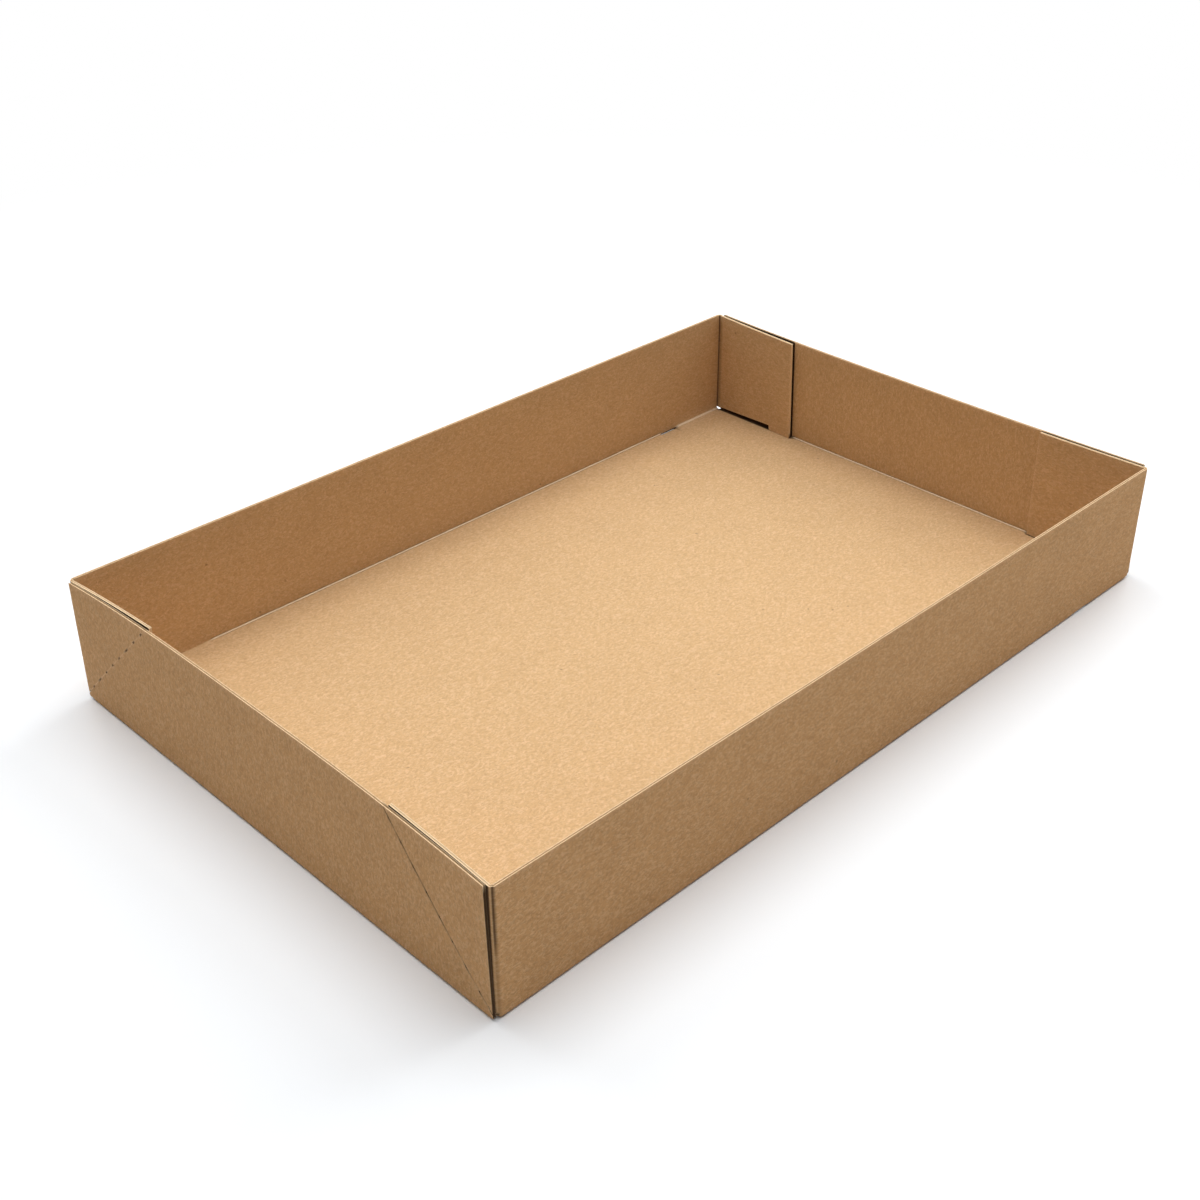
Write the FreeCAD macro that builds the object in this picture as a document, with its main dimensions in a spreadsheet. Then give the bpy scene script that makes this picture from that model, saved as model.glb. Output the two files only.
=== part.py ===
import FreeCAD, Part
import math
import os
import Sketcher

# A shallow open tray folded from one blank of thin corrugated board. Millimetres, +Z up, long side
# along X, origin at the middle of the underside. The long walls' ends turn the corners as glue tabs,
# and each end wall stands in front of two of them. One quarter is drawn and mirrored.

driving_sizes = [
    ("tray_length", 408, "outside, across the two end walls"),
    ("tray_width", 267, "outside, across the two long walls"),
    ("tray_height", 59, "underside to rim"),
    ("board", 1.4, "thickness of the board"),
    ("fold_radius", 0.4, "inside radius of every fold"),
    ("bead_radius", 0.6, "ridge that a crease raises inside the fold"),
    ("side_cut_bottom", 1.2, "end wall's side edge, in from the corner, at its fold"),
    ("side_cut_top", 3.2, "the same at the rim"),
    ("relief_radius", 1.4, "hole punched where two folds meet"),
    ("tab_reach", 56.5, "glue tab, from the long wall's outer face to its free edge"),
    ("tab_drop", 0.3, "glue tab's top below the rim"),
    ("tab_stand_off", 0.9, "how far the free edge springs off the end wall"),
    ("glue_gap", 0.15, "glue film between tab and end wall at the corner"),
    ("foot_width", 15, "part of the tab's lower edge that comes down to the floor"),
    ("foot_rise", 2.6, "the rest of that edge above the floor"),
    ("foot_gap", 0.2, "foot above the floor"),
    ("crease_width", 0.6, "scored 45 degree line on the end wall"),
    ("crease_depth", 0.3, "depth of that line"),
    ("crease_slit_width", 0.4, "slit where the line runs out at the corner"),
    ("crease_slit_rise", 3.5, "height of the slit"),
    ("pinhole_radius", 0.35, "perforation in the scored line"),
    ("pinhole_depth", 1.0, "depth of a perforation"),
    ("pinhole_first", 7.5, "first perforation, in from the corner and up from the fold"),
    ("pinhole_pitch", 9.4, "distance between perforations"),
    ("pinhole_count", 8, "perforations in one line"),
    ("bead_start", 60.5, "long fold's ridge starts this far from one end"),
    ("slot_setback", 39, "slot in the long fold, in from the other end"),
    ("slot_length", 11.5, "length of the slot"),
    ("slot_width", 0.8, "width of the slot"),
    ("band_width", 1.3, "soft unscored fold between slot and corner, across the floor"),
    ("band_height", 0.9, "the same, up the wall"),
]

doc = FreeCAD.newDocument("cardboard_tray")
sheet = doc.addObject("Spreadsheet::Sheet", "Sizes")
for row, (alias, value, meaning) in enumerate(driving_sizes, start=1):
    sheet.set(f"A{row}", alias)
    sheet.set(f"B{row}", str(value))
    sheet.set(f"C{row}", meaning)
    sheet.setAlias(f"B{row}", alias)
doc.recompute()

# Places that several features share
half_length = "(Sizes.tray_length / 2)"
half_width = "(Sizes.tray_width / 2)"
rim = "Sizes.tray_height"
fold = "(Sizes.board + Sizes.fold_radius)"
floor_edge_x = f"({half_length} - {fold})"
floor_edge_y = f"({half_width} - {fold})"
end_inside = f"({half_length} - Sizes.board)"
side_inside = f"({half_width} - Sizes.board)"
tab_face = f"({end_inside} - Sizes.glue_gap)"
wall_end = f"({tab_face} - {fold})"
tab_edge_y = f"({half_width} - Sizes.tab_reach)"


def number(expression):
    return float(sheet.evalExpression(expression))


def origin_plane(body, role):
    return [plane for plane in body.Origin.OriginFeatures if plane.Role == role][0]


def new_sketch(body, name, role, offset="0"):
    sketch = body.newObject("Sketcher::SketchObject", name)
    sketch.AttachmentSupport = [(origin_plane(body, role), "")]
    sketch.MapMode = "FlatFace"
    sketch.setExpression("AttachmentOffset.Base.z", offset)
    return sketch


def pin_point(sketch, geometry, point, name, spot):
    """Holds one point of the sketch at a spot given by two expressions."""
    for kind, axis, expression in (("DistanceX", "x", spot[0]), ("DistanceY", "y", spot[1])):
        rule = Sketcher.Constraint(kind, -1, 1, geometry, point, number(expression))
        index = sketch.addConstraint(rule)
        sketch.renameConstraint(index, f"{name}_{axis}")
        sketch.setExpression(f"Constraints.{name}_{axis}", expression)


def draw_outline(sketch, corners, bends=None):
    """Closed outline through the corners; a bend turns the edge after a corner into an arc."""
    bends = bends or {}
    spots = [FreeCAD.Vector(number(across), number(up), 0) for across, up in corners]
    edges = []
    for i, start in enumerate(spots):
        end = spots[(i + 1) % len(spots)]
        if i not in bends:
            edges.append((sketch.addGeometry(Part.LineSegment(start, end), False), 1, 2))
            continue
        centre = FreeCAD.Vector(number(bends[i][0]), number(bends[i][1]), 0)
        angles = [math.atan2(p.y - centre.y, p.x - centre.x) for p in (start, end)]
        counterclockwise = (angles[1] - angles[0]) % (2 * math.pi) < math.pi
        if not counterclockwise:
            angles.reverse()
        circle = Part.Circle(centre, FreeCAD.Vector(0, 0, 1), start.distanceToPoint(centre))
        arc = sketch.addGeometry(Part.ArcOfCircle(circle, *angles), False)
        edges.append((arc, 1, 2) if counterclockwise else (arc, 2, 1))
        radius = sketch.addConstraint(Sketcher.Constraint("Radius", arc, circle.Radius))
        sketch.renameConstraint(radius, f"bend{i}")
        sketch.setExpression(f"Constraints.bend{i}", bends[i][2])
    for i, (geometry, first, last) in enumerate(edges):
        following, following_first, _ = edges[(i + 1) % len(edges)]
        sketch.addConstraint(
            Sketcher.Constraint("Coincident", geometry, last, following, following_first))
        pin_point(sketch, geometry, first, f"corner{i}", corners[i])


def draw_circle(sketch, centre, radius):
    ring = Part.Circle(FreeCAD.Vector(number(centre[0]), number(centre[1]), 0),
                       FreeCAD.Vector(0, 0, 1), number(radius))
    circle = sketch.addGeometry(ring, False)
    rule = sketch.addConstraint(Sketcher.Constraint("Radius", circle, number(radius)))
    sketch.renameConstraint(rule, "radius")
    sketch.setExpression("Constraints.radius", radius)
    pin_point(sketch, circle, 3, "centre", centre)


def pad(body, name, sketch, length, towards="normal"):
    feature = body.newObject("PartDesign::Pad", name)
    feature.Profile = sketch
    feature.setExpression("Length", length)
    feature.Midplane = towards == "both"
    feature.Reversed = towards == "against normal"
    sketch.Visibility = False
    return feature


def pocket(body, name, sketch, depth, towards="against normal"):
    feature = body.newObject("PartDesign::Pocket", name)
    feature.Profile = sketch
    feature.setExpression("Length", depth)
    feature.Reversed = towards == "normal"
    sketch.Visibility = False
    return feature


def mirror(body, name, role):
    feature = body.newObject("PartDesign::Mirrored", name)
    feature.MirrorPlane = (origin_plane(body, role), [""])
    return feature


def long_wall_features(body):
    """Floor and one long wall in one section, with the crease along their fold."""
    section = new_sketch(body, "floor_and_wall_section", "YZ_Plane")
    fold_centre = (floor_edge_y, fold)
    draw_outline(section, [
        ("0", "0"), (floor_edge_y, "0"),
        (half_width, fold), (half_width, rim),
        (side_inside, rim), (side_inside, fold),
        (floor_edge_y, "Sizes.board"), ("0", "Sizes.board"),
    ], {1: (*fold_centre, fold), 5: (*fold_centre, "Sizes.fold_radius")})
    floor_and_wall = pad(body, "floor_and_wall", section, f"2 * {wall_end}", "both")

    bead_from = f"(Sizes.bead_start - {half_length})"
    bead_to = f"({half_length} - Sizes.slot_setback - Sizes.slot_length)"
    bead_section = new_sketch(body, "long_bead_section", "YZ_Plane", bead_from)
    draw_circle(bead_section, (side_inside, "Sizes.board"), "Sizes.bead_radius")
    bead = pad(body, "long_bead", bead_section, f"{bead_to} - {bead_from}")

    band_from = f"({half_length} - Sizes.slot_setback)"
    band_section = new_sketch(body, "soft_band_section", "YZ_Plane", band_from)
    band_floor = f"({side_inside} - Sizes.band_width)"
    band_wall = "(Sizes.board + Sizes.band_height)"
    inside_board = f"({half_width} - Sizes.board / 2)"
    draw_outline(band_section, [
        (band_floor, "Sizes.board"), (side_inside, band_wall), (inside_board, band_wall),
        (inside_board, "Sizes.board / 2"), (band_floor, "Sizes.board / 2"),
    ])
    band = pad(body, "soft_band", band_section, f"{wall_end} - {band_from}")

    slot_outline = new_sketch(body, "fold_slot_outline", "XY_Plane")
    slot_edge = f"({side_inside} - Sizes.slot_width)"
    draw_outline(slot_outline, [
        (bead_to, slot_edge), (band_from, slot_edge), (band_from, side_inside), (bead_to, side_inside),
    ])
    slot = pocket(body, "fold_slot", slot_outline, fold, "normal")

    both_walls = mirror(body, "both_long_walls", "XZ_Plane")
    both_walls.Originals = [floor_and_wall, bead, band, slot]
    body.Tip = both_walls


def end_wall_features(body):
    """Half of one end wall: its fold, the wall with its slanting side edge, and the crease bead."""
    section = new_sketch(body, "end_fold_section", "XZ_Plane")
    fold_centre = (floor_edge_x, fold)
    draw_outline(section, [
        (wall_end, "0"), (floor_edge_x, "0"),
        (half_length, fold), (end_inside, fold),
        (floor_edge_x, "Sizes.board"), (wall_end, "Sizes.board"),
    ], {1: (*fold_centre, fold), 3: (*fold_centre, "Sizes.fold_radius")})
    side_at_fold = f"({half_width} - Sizes.side_cut_bottom)"
    side_at_rim = f"({half_width} - Sizes.side_cut_top)"
    end_fold = pad(body, "end_fold", section, side_at_fold, "against normal")

    wall_outline = new_sketch(body, "end_wall_outline", "YZ_Plane", half_length)
    draw_outline(wall_outline, [
        ("0", fold), (side_at_fold, fold), (side_at_rim, rim), ("0", rim),
    ])
    end_wall = pad(body, "end_wall", wall_outline, "Sizes.board", "against normal")

    bead_section = new_sketch(body, "end_bead_section", "XZ_Plane")
    draw_circle(bead_section, (end_inside, "Sizes.board"), "Sizes.bead_radius")
    bead = pad(body, "end_bead", bead_section, f"{tab_edge_y} - Sizes.foot_gap", "against normal")
    return [end_fold, end_wall, bead]


def glue_tab_features(body):
    """One tab: it turns the corner, runs behind the end wall and stands on a foot at its free edge."""
    underside = "(Sizes.board + Sizes.foot_rise)"
    outline = new_sketch(body, "glue_tab_outline", "XY_Plane", underside)
    bend_centre = (wall_end, floor_edge_y)
    free_face = f"({tab_face} - Sizes.tab_stand_off)"
    draw_outline(outline, [
        (wall_end, half_width), (tab_face, floor_edge_y),
        (free_face, tab_edge_y), (f"{free_face} - Sizes.board", tab_edge_y),
        (f"{tab_face} - Sizes.board", floor_edge_y), (wall_end, side_inside),
    ], {0: (*bend_centre, fold), 4: (*bend_centre, "Sizes.fold_radius")})
    tab = pad(body, "glue_tab", outline, f"{rim} - Sizes.tab_drop - {underside}")

    foot_outline = new_sketch(body, "tab_foot_outline", "XY_Plane", "Sizes.board + Sizes.foot_gap")
    straight = f"(Sizes.tab_reach - {fold})"
    lean_at_foot = f"(Sizes.tab_stand_off * ({straight} - Sizes.foot_width) / {straight})"
    foot_face = f"({tab_face} - {lean_at_foot})"
    foot_edge = f"({tab_edge_y} + Sizes.foot_width)"
    draw_outline(foot_outline, [
        (free_face, tab_edge_y), (f"{free_face} - Sizes.board", tab_edge_y),
        (f"{foot_face} - Sizes.board", foot_edge), (foot_face, foot_edge),
    ])
    foot = pad(body, "tab_foot", foot_outline, "Sizes.foot_rise - Sizes.foot_gap")
    return [tab, foot]


def slanting_strip(sketch, rise, width):
    """Strip along the 45 degree line from the bottom corner, up to a height above the fold."""
    half = f"({width} / sqrt(2))"
    draw_outline(sketch, [
        (f"{half_width} - {half}", fold), (f"{half_width} + {half}", fold),
        (f"{half_width} - {rise} + {half}", f"{fold} + {rise}"),
        (f"{half_width} - {rise} - {half}", f"{fold} + {rise}"),
    ])


def corner_cuts(body):
    """Relief hole in the floor's corner, and the scored line with its slit on the end wall."""
    relief_outline = new_sketch(body, "corner_relief_outline", "XY_Plane")
    draw_circle(relief_outline, (floor_edge_x, floor_edge_y), "Sizes.relief_radius")
    relief = pocket(body, "corner_relief", relief_outline, fold, "normal")

    crease_outline = new_sketch(body, "slanting_crease_outline", "YZ_Plane", half_length)
    slanting_strip(crease_outline, f"({rim} - {fold})", "Sizes.crease_width")
    crease = pocket(body, "slanting_crease", crease_outline, "Sizes.crease_depth")

    slit_outline = new_sketch(body, "crease_slit_outline", "YZ_Plane", half_length)
    slanting_strip(slit_outline, "Sizes.crease_slit_rise", "Sizes.crease_slit_width")
    slit = pocket(body, "crease_slit", slit_outline, "Sizes.board + Sizes.glue_gap / 2")
    return [relief, crease, slit]


def pinhole_rows(body):
    """Perforations along each scored line: one hole, repeated up the line and to all four corners."""
    outline = new_sketch(body, "pinhole_outline", "YZ_Plane", half_length)
    centre = (f"{half_width} - Sizes.pinhole_first", f"{fold} + Sizes.pinhole_first")
    draw_circle(outline, centre, "Sizes.pinhole_radius")
    step = "(Sizes.pinhole_pitch / sqrt(2))"
    next_centre = (f"{centre[0]} - {step}", f"{centre[1]} + {step}")
    ends = [FreeCAD.Vector(number(spot[0]), number(spot[1]), 0) for spot in (centre, next_centre)]
    direction = outline.addGeometry(Part.LineSegment(*ends), True)
    pin_point(outline, direction, 1, "line_start", centre)
    pin_point(outline, direction, 2, "line_end", next_centre)
    pinhole = pocket(body, "pinhole", outline, "Sizes.pinhole_depth")

    rows = body.newObject("PartDesign::MultiTransform", "pinhole_rows")
    up_the_line = body.newObject("PartDesign::LinearPattern", "up_the_line")
    up_the_line.Direction = (outline, ["Axis0"])
    up_the_line.Mode = "Extent"
    up_the_line.setExpression("Length", "Sizes.pinhole_pitch * (Sizes.pinhole_count - 1)")
    up_the_line.setExpression("Occurrences", "Sizes.pinhole_count")
    other_side = mirror(body, "pinholes_other_side", "XZ_Plane")
    other_end = mirror(body, "pinholes_other_end", "YZ_Plane")
    rows.Originals = [pinhole]
    rows.Transformations = [up_the_line, other_side, other_end]
    body.Tip = rows


tray = doc.addObject("PartDesign::Body", "folded_tray")
tray.Label = "folded_tray"
tray.Placement = FreeCAD.Placement()
long_wall_features(tray)
quarter = end_wall_features(tray) + glue_tab_features(tray) + corner_cuts(tray)
four_quarters = tray.newObject("PartDesign::MultiTransform", "four_quarters")
quarter_mirrors = [mirror(tray, "quarter_other_side", "XZ_Plane"),
                   mirror(tray, "quarter_other_end", "YZ_Plane")]
four_quarters.Originals = quarter
four_quarters.Transformations = quarter_mirrors
tray.Tip = four_quarters
doc.recompute()
pinhole_rows(tray)
doc.recompute()

for item in doc.Objects:
    if "Invalid" in item.State or "Error" in item.State:
        raise RuntimeError(f"{item.Name} failed: {item.State}")
    if item.TypeId == "PartDesign::Pocket" and item.Shape.Volume >= item.BaseFeature.Shape.Volume:
        raise RuntimeError(f"{item.Name} cuts nothing")
if tray.Shape.isNull() or not tray.Shape.isValid() or len(tray.Shape.Solids) != 1:
    raise RuntimeError(f"{tray.Label} isn't one valid solid")

os.makedirs("parts", exist_ok=True)
tray.Shape.exportStep(f"parts/{tray.Label}.step")
box = tray.Shape.BoundBox
print(f"{tray.Label}: {box.XLength:.2f} x {box.YLength:.2f} x {box.ZLength:.2f} mm,"
      f" {tray.Shape.Volume / 1000:.2f} cm3, {len(tray.Shape.Faces)} faces")
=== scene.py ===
import math
import bpy
import numpy as np
from mathutils import Matrix, Vector, geometry, kdtree


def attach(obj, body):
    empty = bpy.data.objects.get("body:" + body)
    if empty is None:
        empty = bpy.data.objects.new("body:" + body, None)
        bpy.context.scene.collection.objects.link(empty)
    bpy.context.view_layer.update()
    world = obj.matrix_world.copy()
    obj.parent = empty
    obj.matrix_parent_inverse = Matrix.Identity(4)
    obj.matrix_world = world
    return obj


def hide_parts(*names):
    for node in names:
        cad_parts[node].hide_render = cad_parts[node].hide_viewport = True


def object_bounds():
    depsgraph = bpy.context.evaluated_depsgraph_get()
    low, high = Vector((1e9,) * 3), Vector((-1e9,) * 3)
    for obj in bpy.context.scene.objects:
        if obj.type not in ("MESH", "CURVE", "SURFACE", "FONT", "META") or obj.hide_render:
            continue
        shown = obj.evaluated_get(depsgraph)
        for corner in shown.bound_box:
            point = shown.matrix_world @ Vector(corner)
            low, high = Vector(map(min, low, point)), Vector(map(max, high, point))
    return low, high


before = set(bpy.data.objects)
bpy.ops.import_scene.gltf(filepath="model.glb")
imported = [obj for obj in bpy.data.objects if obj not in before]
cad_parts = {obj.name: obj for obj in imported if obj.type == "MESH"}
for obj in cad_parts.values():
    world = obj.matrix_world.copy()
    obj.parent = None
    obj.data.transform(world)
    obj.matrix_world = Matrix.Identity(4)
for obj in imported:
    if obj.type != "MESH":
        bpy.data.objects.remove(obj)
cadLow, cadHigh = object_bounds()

# A shallow tray folded from one blank of thin fluted board. The blank is cut out flat, in u and v
# and in millimetres, and every point of it is then carried through the folds.
mm = 0.001
scene = bpy.context.scene

blank = {
    "thickness": 1.4,
    "foldInside": 0.4,          # inside radius of every fold
    "rimTrim": 0.08,            # a cut liner bulges by this much, so the rim is cut lower by it
    "sideCutBottom": 1.2,       # end wall's side edge in from the corner, at its fold
    "tabReach": 56.5,
    "tabDrop": 0.3,
    "glueGap": 0.15,
    "footWidth": 15.0,
    "foldRise": 1.4,            # tab's lower edge over the floor at its fold
    "footRise": 3.2,            # and beside its foot
    "footGap": 0.2,
    "scoreAt": .65,             # scored line on the outside of the tab's fold, past the fold's start
    "slitRise": 3.5,
    "slitWidth": 0.4,
    "pinholeRadius": 0.4,
    "pinholeFirst": 7.5,
    "pinholePitch": 9.4,
    "pinholeCount": 8,
    "beadStart": 60.5,
    "slotSetback": 39.0,
    "slotLength": 11.5,
    "gridStep": 5.0,            # spacing of the points on the flat panels
    "lineStep": 3.0,            # spacing of the points along folds and cuts
}

# Cross-section of the inside face over a fold: place across the fold from 0 to 1, then distance from
# the wall's inside face and height above the floor's upper face
foldProfiles = {
    "bead": [(0, 1.2, 0), (.14, .95, -.03), (.24, .72, -.1), (.3, .6, .06), (.38, .545, .27),
             (.5, .424, .424), (.62, .27, .545), (.7, .06, .6), (.76, -.1, .72),
             (.86, -.03, .95), (1, 0, 1.2)],
    "band": [(0, 1.2, 0), (.14, 1.08, .04), (.24, .95, .14), (.3, .86, .21), (.38, .74, .32),
             (.5, .54, .48), (.62, .34, .63), (.7, .21, .73), (.76, .13, .8), (.86, .03, .93), (1, 0, 1.2)],
}
foldLines = [0, .07, .14, .19, .24, .27, .3, .34, .38, .44, .5, .56, .62, .66, .7, .73, .76, .81, .86, .93, 1]

trayBend = {
    "nearBow": 3.7,             # end wall at x low leans in by this much in the middle of its rim
    "farBow": 2.6,
    "bowPower": (2.4, 3.4),     # how square the bow is towards y low and towards y high
    "floorWave": 0.2,
    "wallWave": 0.15,
    "edgeCrush": 0.07,          # each liner is pressed in beside a cut
}

# What is particular to each corner, by (end, side): radius punched where the folds meet, how far the
# tab's free edge springs off, how far the end wall's side edge leans in at the rim, and the slanting
# scored line on the outside: its groove, the ridges beside it, its painted shade and the painted highlight
# beside it
corners = {
    (-1, -1): {"relief": 1.05, "standOff": .45, "sideCutTop": 2.8,
               "groove": .34, "ridge": .05, "wide": .3, "dark": .85, "wearAndHighlight": .5},
    (-1, 1): {"relief": 1.3, "standOff": .9, "sideCutTop": 2.6,
              "groove": -.06, "ridge": .0, "wide": .3, "dark": .0, "wearAndHighlight": .75},
    (1, -1): {"relief": 1.4, "standOff": .3, "sideCutTop": 3.0,
              "groove": .16, "ridge": .06, "wide": .26, "dark": .5, "wearAndHighlight": .2},
    (1, 1): {"relief": 1.45, "standOff": 1.6, "sideCutTop": 3.0,
             "groove": .3, "ridge": .05, "wide": .2, "dark": .7, "wearAndHighlight": .2},
}

s = blank
trayLength, trayWidth, trayHeight = [(cadHigh[i] - cadLow[i]) / mm for i in range(3)]
halfLength, halfWidth = trayLength / 2, trayWidth / 2
thickness, foldInside = s["thickness"], s["foldInside"]
foldOutside = thickness + foldInside
foldMiddle = foldInside + thickness / 2
foldArc = foldMiddle * math.pi / 2
endEdge, longEdge = halfLength - foldOutside, halfWidth - foldOutside   # where the folds leave the floor
endWallStart, longWallStart = endEdge + foldArc, longEdge + foldArc
wallFlat = trayHeight - foldOutside
endRim, longRim = endWallStart + wallFlat - s["rimTrim"], longWallStart + wallFlat - s["rimTrim"]
tabFoldStart = halfLength - thickness - s["glueGap"] - foldOutside
tabStart = tabFoldStart + foldArc
tabLength = s["tabReach"] - foldOutside
tabEnd = tabStart + tabLength
tabTop = longRim - s["tabDrop"]
tabFoldUnder = longWallStart + thickness + s["foldRise"] - foldOutside
tabFootUnder = longWallStart + thickness + s["footRise"] - foldOutside
footUnderside = longWallStart + thickness + s["footGap"] - foldOutside
foldZone = 0.8                      # flat board beside a fold that its bead lifts
beadEnd = halfWidth - s["tabReach"] - s["footGap"]
slotFrom = halfLength - s["slotSetback"] - s["slotLength"]
slotTo = halfLength - s["slotSetback"]


def sideCut(u, sideCutTop):
    share = (u - endWallStart) / wallFlat
    return halfWidth - s["sideCutBottom"] - share * (sideCutTop - s["sideCutBottom"])


def arcPoints(centre, radius, start, end, count):
    angles = np.radians(np.linspace(start, end, count))
    return [(centre[0] + radius * math.cos(a), centre[1] + radius * math.sin(a)) for a in angles]


def quarterOutline(corner):
    # from the middle of the end rim round the corner to the middle of the long rim
    top, radius = corner["sideCutTop"], corner["relief"]
    slitFoot = s["sideCutBottom"] / (1 - (top - s["sideCutBottom"]) / wallFlat)
    mouth = s["slitWidth"] / math.sqrt(2)
    reliefMeets = math.degrees(math.asin((sideCut(endWallStart, top) - longEdge) / radius))
    path = [(endRim, 0)]
    path += arcPoints((endRim - .35, sideCut(endRim, top) - .35), .35, 0, 90, 4)
    path += [(endWallStart + slitFoot + mouth, sideCut(endWallStart + slitFoot + mouth, top)),
             (endWallStart + s["slitRise"] + .1, halfWidth - s["slitRise"] + .05),
             (endWallStart + s["slitRise"] - .1, halfWidth - s["slitRise"] - .05),
             (endWallStart + slitFoot - mouth, sideCut(endWallStart + slitFoot - mouth, top)),
             (endWallStart, sideCut(endWallStart, top))]
    path += arcPoints((endEdge, longEdge), radius, reliefMeets, -180, 16)
    cutAt = endEdge - radius
    path += [(cutAt, tabFoldUnder - .5)]
    path += arcPoints((cutAt + .5, tabFoldUnder - .5), .5, 180, 90, 4)[1:]
    footStart = tabEnd - s["footWidth"]
    path += [(footStart - .3, tabFootUnder), (footStart, tabFootUnder - .3), (footStart, footUnderside + .3),
             (footStart + .3, footUnderside), (tabEnd - .4, footUnderside), (tabEnd, footUnderside + .4)]
    path += arcPoints((tabEnd - .3, tabTop - .3), .3, 0, 90, 4)
    path += [(tabStart + .6, tabTop), (tabFoldStart - .6, longRim), (0, longRim)]
    return path


def wholeOutline():
    loop = []
    for su, sv in ((1, 1), (-1, 1), (-1, -1), (1, -1)):
        part = [(su * u, sv * v) for u, v in quarterOutline(corners[su, sv])]
        if su * sv < 0:
            part.reverse()
        loop += part[:-1]
    return loop


def slotLoop(side):
    # a straight punch with a rounder bite at each end
    low, high = longEdge - .6, longEdge + .75
    middle = (low + high) / 2
    loop = [(slotFrom + .9, low), (slotTo - .9, low)]
    loop += arcPoints((slotTo - .6, middle), .8, -50, 50, 6)
    loop += [(slotTo - .9, high), (slotFrom + .9, high)]
    loop += arcPoints((slotFrom + .6, middle), .8, 130, 230, 6)
    return [(u, side * v) for u, v in loop]


def pinholePlaces():
    step = s["pinholePitch"] / math.sqrt(2)
    rises = [s["pinholeFirst"] + step * i for i in range(s["pinholeCount"])]
    signs = [(su, sv) for su in (-1, 1) for sv in (-1, 1)]
    return [(su * (endWallStart + k), sv * (halfWidth - k)) for su, sv in signs for k in rises]


def subdivided(points, step, closed=False):
    made = []
    pairs = list(zip(points, points[1:] + points[:1])) if closed else list(zip(points, points[1:]))
    for (u0, v0), (u1, v1) in pairs:
        count = max(1, math.ceil(math.hypot(u1 - u0, v1 - v0) / step - 1e-6))
        made += [(u0 + (u1 - u0) * i / count, v0 + (v1 - v0) * i / count) for i in range(count)]
    return made if closed else made + [points[-1]]


def insideLoop(points, loop):
    a = np.array(loop)
    b = np.roll(a, -1, 0)
    rise = np.where(a[:, 1] == b[:, 1], 1, b[:, 1] - a[:, 1])
    found = []
    for chunk in np.array_split(points, max(1, len(points) // 3000)):
        x, y = chunk[:, :1], chunk[:, 1:]
        crosses = (a[:, 1] > y) != (b[:, 1] > y)
        at = a[:, 0] + (y - a[:, 1]) * (b[:, 0] - a[:, 0]) / rise
        found.append((crosses & (x < at)).sum(1) % 2 == 1)
    return np.concatenate(found)


def distanceTo(points, samples):
    tree = kdtree.KDTree(len(samples))
    for i, (u, v) in enumerate(samples):
        tree.insert((u, v, 0), i)
    tree.balance()
    return np.array([tree.find((u, v, 0))[2] for u, v in points])


def scoreLines():
    # every line that the triangles of the blank have to follow
    lines = []
    width = foldArc + 2 * foldZone
    for share in foldLines:
        v = longEdge - foldZone + share * width
        u = endEdge - foldZone + share * width
        for side in (-1, 1):
            lines.append([(-tabFoldStart, side * v), (tabFoldStart, side * v)])
            lines.append([(side * u, -longEdge), (side * u, longEdge)])
    for su in (-1, 1):
        for sv in (-1, 1):
            for offset in (-.8, -.5, -.3, -.12, .06, .3, .55, .8, 1.1, 1.4, foldArc):
                u = tabFoldStart + offset
                lines.append([(su * u, sv * (tabFoldUnder + .2)), (su * u, sv * (longRim - .02))])
            for offset in (-.9, -.5, -.28, -.14, 0, .14, .28, .5, .9):
                shift = offset / math.sqrt(2)
                first, last = s["slitRise"] + (.3 if offset else .1), wallFlat - .1 - abs(shift)
                lines.append([(su * (endWallStart + k + shift), sv * (halfWidth - k + shift))
                              for k in (first, last)])
            for offset in (-.9, -.15, .15, .8):
                v = sv * (halfWidth - s["tabReach"] + offset)
                lines.append([(su * (endWallStart + .1), v), (su * (endRim - .02), v)])
            for inset in (4.1, 3.6, 3.1):
                u = su * (halfLength - inset)
                lines.append([(u, sv * beadEnd), (u, sv * (longEdge - 2.5))])
    return lines


def loosePoints(outline, holes, nearby):
    # an even grid on the panels and two rows beside every cut
    step = s["gridStep"]
    across = np.arange(-math.floor(endRim / step), math.floor(endRim / step) + 1) * step
    upward = np.arange(-math.floor(longRim / step), math.floor(longRim / step) + 1) * step
    grid = np.array([(u, v) for u in across for v in upward])
    grid = grid[distanceTo(grid, nearby) > step * .3]
    rows = []
    for loop in [outline] + holes[:2]:
        a = np.array(loop)
        normal = np.roll(a, -1, 0) - np.roll(a, 1, 0)
        normal = np.stack([-normal[:, 1], normal[:, 0]], 1) / np.maximum(np.hypot(*normal.T), 1e-9)[:, None]
        rows += [a + normal * .7, a + normal * 1.9]
    beside = np.concatenate(rows)
    beside = beside[distanceTo(beside, nearby) > .5]
    loose = np.concatenate([grid, beside])
    loose = loose[insideLoop(loose, outline)]
    for hole in holes:
        loose = loose[~insideLoop(loose, hole)]
    return loose


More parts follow.
